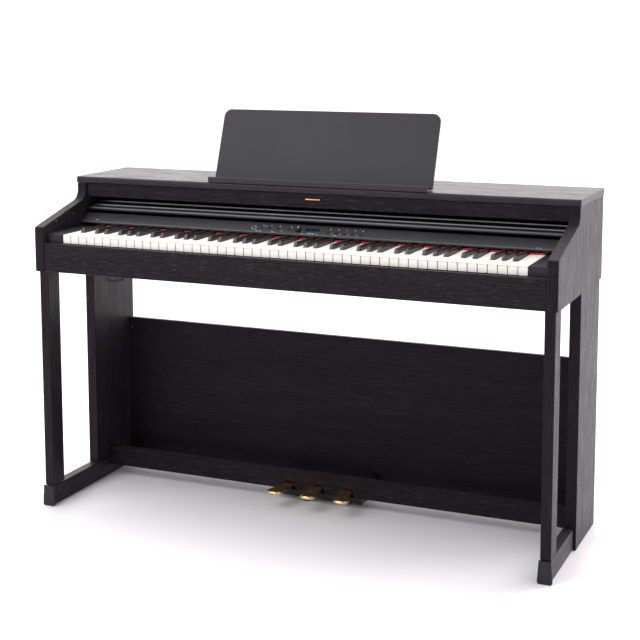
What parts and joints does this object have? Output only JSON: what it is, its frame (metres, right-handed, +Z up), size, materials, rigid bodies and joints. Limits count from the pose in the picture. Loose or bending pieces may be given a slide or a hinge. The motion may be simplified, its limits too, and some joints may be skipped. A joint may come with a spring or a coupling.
{
  "type": "digital piano on stand",
  "caption": "Upright-style digital piano on a side-panel stand, with a sliding key lid, a music rest and pedals.",
  "frame": {"origin": "on the floor, under the middle of the piano's outline", "axes": "+X to the player's right, the treble end; +Y towards the back; +Z up"},
  "size_m": [1.378, 0.468, 1.0455],
  "materials": {
    "wood": "near-black wood-look foil with fine grain, satin",
    "rear_board": "thin dark hardboard",
    "black_plastic": "satin black moulding",
    "lid": "satin black",
    "rest": "charcoal, fine textured",
    "white_key": "ivory-touch off-white",
    "black_key": "ebony-touch satin black",
    "brass": "polished",
    "hook_wire": "black",
    "circuit_board": "green solder mask",
    "speaker_cone": "black cone and basket",
    "display_glass": "dark blue window"
  },
  "bodies": {
    "cabinet": {"top_board": "wood", "side_board_left": "wood", "side_board_right": "wood", "fascia_board": "wood", "cabinet_back": "rear_board", "keybed": "wood", "key_slip": "wood", "key_block_left": "black_plastic", "key_block_right": "black_plastic", "speaker_left": "speaker_cone", "speaker_right": "speaker_cone", "circuit_board": "circuit_board", "power_inlet": "black_plastic", "headphone_hook": "hook_wire", "control_panel": "black_plastic", "display_window": "display_glass", "key_frame": "black_plastic", "music_rest_ledge": "rest", "side_panel_left": "wood", "side_panel_right": "wood", "front_leg_left": "wood", "front_leg_right": "wood", "foot_bar_left": "wood", "foot_bar_right": "wood", "foot_cap_left": "black_plastic", "foot_cap_right": "black_plastic", "back_board": "wood", "pedal_rail": "wood", "pedal_box": "black_plastic"},
    "white_keys_1": {"white_keys_1": "white_key"},
    "white_keys_2": {"white_keys_2": "white_key"},
    "white_keys_3": {"white_keys_3": "white_key"},
    "white_keys_4": {"white_keys_4": "white_key"},
    "white_keys_5": {"white_keys_5": "white_key"},
    "white_keys_6": {"white_keys_6": "white_key"},
    "white_keys_7": {"white_keys_7": "white_key"},
    "black_keys_1": {"black_keys_1": "black_key"},
    "black_keys_2": {"black_keys_2": "black_key"},
    "black_keys_3": {"black_keys_3": "black_key"},
    "black_keys_4": {"black_keys_4": "black_key"},
    "black_keys_5": {"black_keys_5": "black_key"},
    "black_keys_6": {"black_keys_6": "black_key"},
    "black_keys_7": {"black_keys_7": "black_key"},
    "button_1": {"button_1": "black_plastic"},
    "button_2": {"button_2": "black_plastic"},
    "button_3": {"button_3": "black_plastic"},
    "button_4": {"button_4": "black_plastic"},
    "button_5": {"button_5": "black_plastic"},
    "button_6": {"button_6": "black_plastic"},
    "button_7": {"button_7": "black_plastic"},
    "button_8": {"button_8": "black_plastic"},
    "button_9": {"button_9": "black_plastic"},
    "power_button": {"power_button": "black_plastic"},
    "volume_knob": {"volume_knob": "black_plastic"},
    "key_lid": {"key_lid": "lid"},
    "music_rest": {"music_rest_panel": "rest"},
    "pedal_left": {"pedal_left": "brass"},
    "pedal_middle": {"pedal_middle": "brass"},
    "pedal_right": {"pedal_right": "brass"},
    "rail_adjuster": {"rail_adjuster": "black_plastic"}
  },
  "joints": [
    {"name": "white_keys_1_dip", "type": "hinge", "parent": "cabinet", "child": "white_keys_1", "pos_m": [0, 0.004, 0.712], "axis": [1, 0, 0], "range_deg": [0, 2.6], "stiffness_Nm_per_rad": 8, "springref_deg": -14.32},
    {"name": "white_keys_2_dip", "type": "hinge", "parent": "cabinet", "child": "white_keys_2", "pos_m": [0, 0.004, 0.712], "axis": [1, 0, 0], "range_deg": [0, 2.6], "stiffness_Nm_per_rad": 8, "springref_deg": -14.32},
    {"name": "white_keys_3_dip", "type": "hinge", "parent": "cabinet", "child": "white_keys_3", "pos_m": [0, 0.004, 0.712], "axis": [1, 0, 0], "range_deg": [0, 2.6], "stiffness_Nm_per_rad": 8, "springref_deg": -14.32},
    {"name": "white_keys_4_dip", "type": "hinge", "parent": "cabinet", "child": "white_keys_4", "pos_m": [0, 0.004, 0.712], "axis": [1, 0, 0], "range_deg": [0, 2.6], "stiffness_Nm_per_rad": 8, "springref_deg": -14.32},
    {"name": "white_keys_5_dip", "type": "hinge", "parent": "cabinet", "child": "white_keys_5", "pos_m": [0, 0.004, 0.712], "axis": [1, 0, 0], "range_deg": [0, 2.6], "stiffness_Nm_per_rad": 8, "springref_deg": -14.32},
    {"name": "white_keys_6_dip", "type": "hinge", "parent": "cabinet", "child": "white_keys_6", "pos_m": [0, 0.004, 0.712], "axis": [1, 0, 0], "range_deg": [0, 2.6], "stiffness_Nm_per_rad": 8, "springref_deg": -14.32},
    {"name": "white_keys_7_dip", "type": "hinge", "parent": "cabinet", "child": "white_keys_7", "pos_m": [0, 0.004, 0.712], "axis": [1, 0, 0], "range_deg": [0, 2.6], "stiffness_Nm_per_rad": 8, "springref_deg": -14.32},
    {"name": "black_keys_1_dip", "type": "hinge", "parent": "cabinet", "child": "black_keys_1", "pos_m": [0, 0.004, 0.712], "axis": [1, 0, 0], "range_deg": [0, 2.9], "stiffness_Nm_per_rad": 4, "springref_deg": -11.46},
    {"name": "black_keys_2_dip", "type": "hinge", "parent": "cabinet", "child": "black_keys_2", "pos_m": [0, 0.004, 0.712], "axis": [1, 0, 0], "range_deg": [0, 2.9], "stiffness_Nm_per_rad": 4, "springref_deg": -11.46},
    {"name": "black_keys_3_dip", "type": "hinge", "parent": "cabinet", "child": "black_keys_3", "pos_m": [0, 0.004, 0.712], "axis": [1, 0, 0], "range_deg": [0, 2.9], "stiffness_Nm_per_rad": 4, "springref_deg": -11.46},
    {"name": "black_keys_4_dip", "type": "hinge", "parent": "cabinet", "child": "black_keys_4", "pos_m": [0, 0.004, 0.712], "axis": [1, 0, 0], "range_deg": [0, 2.9], "stiffness_Nm_per_rad": 4, "springref_deg": -11.46},
    {"name": "black_keys_5_dip", "type": "hinge", "parent": "cabinet", "child": "black_keys_5", "pos_m": [0, 0.004, 0.712], "axis": [1, 0, 0], "range_deg": [0, 2.9], "stiffness_Nm_per_rad": 4, "springref_deg": -11.46},
    {"name": "black_keys_6_dip", "type": "hinge", "parent": "cabinet", "child": "black_keys_6", "pos_m": [0, 0.004, 0.712], "axis": [1, 0, 0], "range_deg": [0, 2.9], "stiffness_Nm_per_rad": 4, "springref_deg": -11.46},
    {"name": "black_keys_7_dip", "type": "hinge", "parent": "cabinet", "child": "black_keys_7", "pos_m": [0, 0.004, 0.712], "axis": [1, 0, 0], "range_deg": [0, 2.9], "stiffness_Nm_per_rad": 4, "springref_deg": -11.46},
    {"name": "button_1_press", "type": "slide", "parent": "cabinet", "child": "button_1", "axis": [0, 0.534, -0.8455], "range_m": [0, 0.001], "stiffness_N_per_m": 300, "springref_m": -0.002},
    {"name": "button_2_press", "type": "slide", "parent": "cabinet", "child": "button_2", "axis": [0, 0.534, -0.8455], "range_m": [0, 0.001], "stiffness_N_per_m": 300, "springref_m": -0.002},
    {"name": "button_3_press", "type": "slide", "parent": "cabinet", "child": "button_3", "axis": [0, 0.534, -0.8455], "range_m": [0, 0.001], "stiffness_N_per_m": 300, "springref_m": -0.002},
    {"name": "button_4_press", "type": "slide", "parent": "cabinet", "child": "button_4", "axis": [0, 0.534, -0.8455], "range_m": [0, 0.001], "stiffness_N_per_m": 300, "springref_m": -0.002},
    {"name": "button_5_press", "type": "slide", "parent": "cabinet", "child": "button_5", "axis": [0, 0.534, -0.8455], "range_m": [0, 0.001], "stiffness_N_per_m": 300, "springref_m": -0.002},
    {"name": "button_6_press", "type": "slide", "parent": "cabinet", "child": "button_6", "axis": [0, 0.534, -0.8455], "range_m": [0, 0.001], "stiffness_N_per_m": 300, "springref_m": -0.002},
    {"name": "button_7_press", "type": "slide", "parent": "cabinet", "child": "button_7", "axis": [0, 0.534, -0.8455], "range_m": [0, 0.001], "stiffness_N_per_m": 300, "springref_m": -0.002},
    {"name": "button_8_press", "type": "slide", "parent": "cabinet", "child": "button_8", "axis": [0, 0.534, -0.8455], "range_m": [0, 0.001], "stiffness_N_per_m": 300, "springref_m": -0.002},
    {"name": "button_9_press", "type": "slide", "parent": "cabinet", "child": "button_9", "axis": [0, 0.534, -0.8455], "range_m": [0, 0.001], "stiffness_N_per_m": 300, "springref_m": -0.002},
    {"name": "power_button_press", "type": "slide", "parent": "cabinet", "child": "power_button", "axis": [0, 0.534, -0.8455], "range_m": [0, 0.001], "stiffness_N_per_m": 300, "springref_m": -0.002},
    {"name": "volume_turn", "type": "hinge", "parent": "cabinet", "child": "volume_knob", "pos_m": [-0.0265, -0.0375, 0.75028], "axis": [0, -0.534, 0.8455], "range_deg": [-140, 140]},
    {"name": "lid_slide", "type": "slide", "parent": "cabinet", "child": "key_lid", "axis": [0, -0.9833, -0.1822], "range_m": [0, 0.212]},
    {"name": "music_rest_fold", "type": "hinge", "parent": "cabinet", "child": "music_rest", "pos_m": [0.012, 0.018, 0.8665], "axis": [-1, 0, 0], "range_deg": [0, 69]},
    {"name": "pedal_left_press", "type": "hinge", "parent": "cabinet", "child": "pedal_left", "pos_m": [-0.098, 0.14, 0.046], "axis": [1, 0, 0], "range_deg": [0, 5], "stiffness_Nm_per_rad": 20, "springref_deg": -5.73},
    {"name": "pedal_middle_press", "type": "hinge", "parent": "cabinet", "child": "pedal_middle", "pos_m": [-0.014, 0.14, 0.046], "axis": [1, 0, 0], "range_deg": [0, 5], "stiffness_Nm_per_rad": 20, "springref_deg": -5.73},
    {"name": "pedal_right_press", "type": "hinge", "parent": "cabinet", "child": "pedal_right", "pos_m": [0.07, 0.14, 0.046], "axis": [1, 0, 0], "range_deg": [0, 5], "stiffness_Nm_per_rad": 20, "springref_deg": -5.73},
    {"name": "adjuster_height", "type": "slide", "parent": "cabinet", "child": "rail_adjuster", "axis": [0, 0, 1], "range_m": [0, 0.005]}
  ]
}
